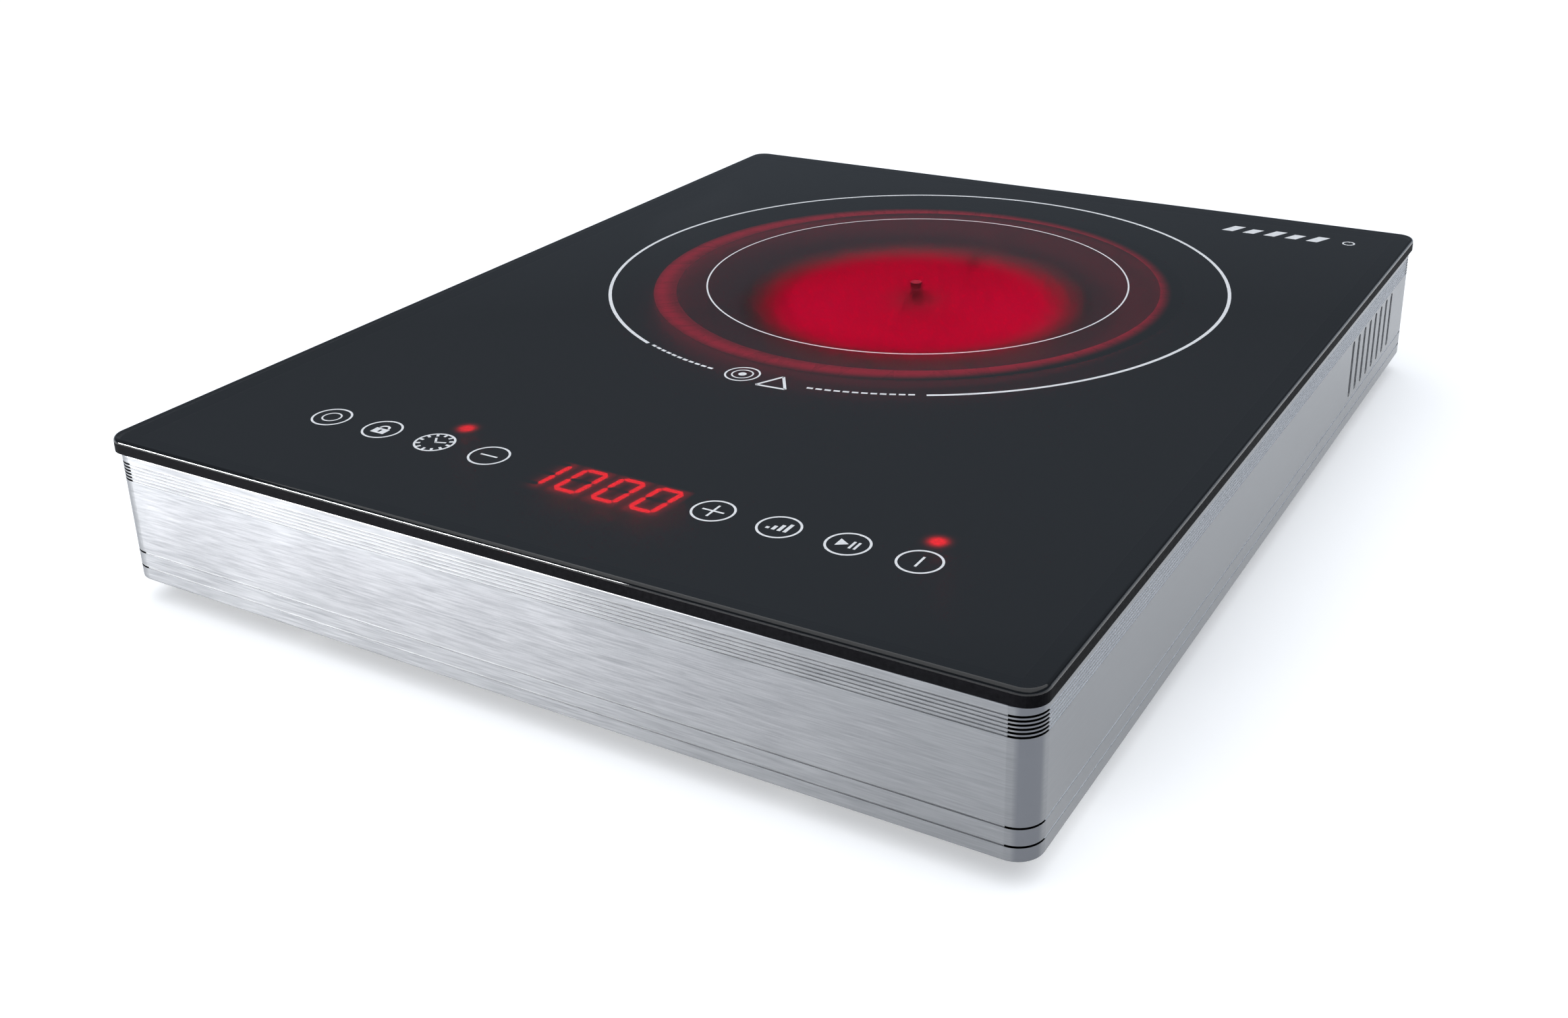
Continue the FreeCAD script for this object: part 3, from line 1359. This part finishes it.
def make_fuse():
    """Glass fuse in two spring clips."""
    along = FreeCAD.Rotation(FreeCAD.Vector(0, 1, 0), 90)
    y = f"({CONTROL_Y} + fuse_y)"
    fuse_z = f"{POWER_TOP} + fuse_radius + clip_thickness"
    fuse_x = "(transformer_x - fuse_length / 2)"
    keep(disc("fuse_tube", fuse_x, y, fuse_z, "fuse_radius", "fuse_length", along), "fuse")
    clips = []
    for index in range(2):
        x = f"(transformer_x + (fuse_length / 2 - clip_width / 2) * {2 * index - 1})"
        base = block(
            f"clip_base_{index}", x, y, POWER_TOP, "clip_width", "fuse_radius * 2 + clip_thickness * 2",
            "clip_height",
        )
        seat = disc(
            f"clip_seat_{index}", f"{x} - clip_width / 2", y, fuse_z, "fuse_radius", "clip_width", along
        )
        clips.append(less(f"clip_{index}", base, [seat]))
    group("fuse_clips", clips)


def make_lead_block():
    """Screw terminals at the left end of the power board."""
    body = block(
        "lead_block_body", "-lead_block_x", CONTROL_Y, POWER_TOP, "lead_block_length", "lead_block_width",
        "lead_block_height",
    )
    wells = []
    well_z = f"{POWER_TOP} + lead_block_height - lead_well_depth"
    for index in LEADS:
        y = f"({CONTROL_Y} + lead_pitch * ({index} - 1))"
        wells.append(disc(
            f"lead_well_{index}", "-lead_block_x", y, well_z, "lead_well_radius", "lead_well_depth"
        ))
    keep(less("lead_block_cut", body, wells), "lead_block")


def make_heater_leads():
    """Three insulated leads from the screw terminals to the heater's ceramic block."""
    radius = number("lead_radius")
    start_level = number(f"{POWER_TOP} + lead_start_rise")
    end_level = number(f"{PAN_INSIDE} + lead_rise")
    leads = []
    for index in LEADS:
        start_y = number(f"{CONTROL_Y} + lead_pitch * ({index} - 1)")
        end_y = number(f"{HEATER_Y} + tab_pitch * ((tab_count - 1) / 2 - {index} - 1)")
        lane = number(f"lead_wall_gap - {INNER_HALF_WIDTH} + lead_lane_pitch * {index}")
        points = [
            FreeCAD.Vector(number("-lead_block_x - lead_block_length / 2"), start_y, start_level),
            FreeCAD.Vector(lane, start_y, start_level),
            FreeCAD.Vector(lane, end_y, end_level),
            FreeCAD.Vector(number("-heater_radius - terminal_length"), end_y, end_level),
        ]
        leads.append(tube(points, radius, number("lead_bend")))
    piece = doc.addObject("Part::Feature", "lead_set")
    piece.Shape = Part.makeCompound(leads)
    keep(piece, "heater_leads")


def tube(points, radius, bend):
    """Round wire along straight runs joined by tangent arcs."""
    edges = []
    here = points[0]
    for corner, following in zip(points[1:-1], points[2:]):
        back = (here - corner).normalize()
        ahead = (following - corner).normalize()
        half_turn = (math.pi - back.getAngle(ahead)) / 2
        setback = bend * math.tan(half_turn)
        begin = corner + back * setback
        end = corner + ahead * setback
        middle_direction = (back + ahead).normalize()
        middle = corner + middle_direction * (bend / math.cos(half_turn) - bend)
        edges.append(Part.LineSegment(here, begin).toShape())
        edges.append(Part.Arc(begin, middle, end).toShape())
        here = end
    edges.append(Part.LineSegment(here, points[-1]).toShape())
    path = Part.Wire(edges)
    ring = Part.Wire(Part.makeCircle(radius, points[0], points[1] - points[0]))
    return path.makePipeShell([ring], True, True)


make_glass_plate()
make_glass_seal()
make_rails()
make_corners()
make_base_plate()
make_base_screws()
make_feet()
make_cord_grommet()
make_heater_pan()
make_insulation()
ribbon("inner_ribbon", "inner_ribbon_start", "inner_ribbon_turns", INNER_RIBBON_PITCH)
ribbon("outer_ribbon", OUTER_RIBBON_START, "outer_ribbon_turns", "outer_ribbon_pitch")
make_sensor()
make_limiter()
make_terminal_block()
make_brackets()
make_fan_housing()
make_fan_rotor()
make_fan_stator()
make_fan_screws()
make_control_board()
make_touch_springs()
make_display()
make_buzzer()
make_power_board()
make_relays()
make_transformer()
make_capacitors()
make_heat_sink()
make_fuse()
make_lead_block()
make_heater_leads()
doc.recompute()

for item in doc.Objects:
    if {"Invalid", "Error"} & set(item.State):
        raise RuntimeError(f"{item.Label} failed: {item.State}")
for piece in nodes:
    if piece.Shape.isNull() or not piece.Shape.isValid() or not piece.Shape.Solids:
        raise RuntimeError(f"{piece.Label} has no valid solid")
os.makedirs("parts", exist_ok=True)
for piece in nodes:
    piece.Shape.exportStep(f"parts/{piece.Label}.step")
    print(f"{piece.Label}: {len(piece.Shape.Solids)} solids, {piece.Shape.Volume:.0f} mm3")
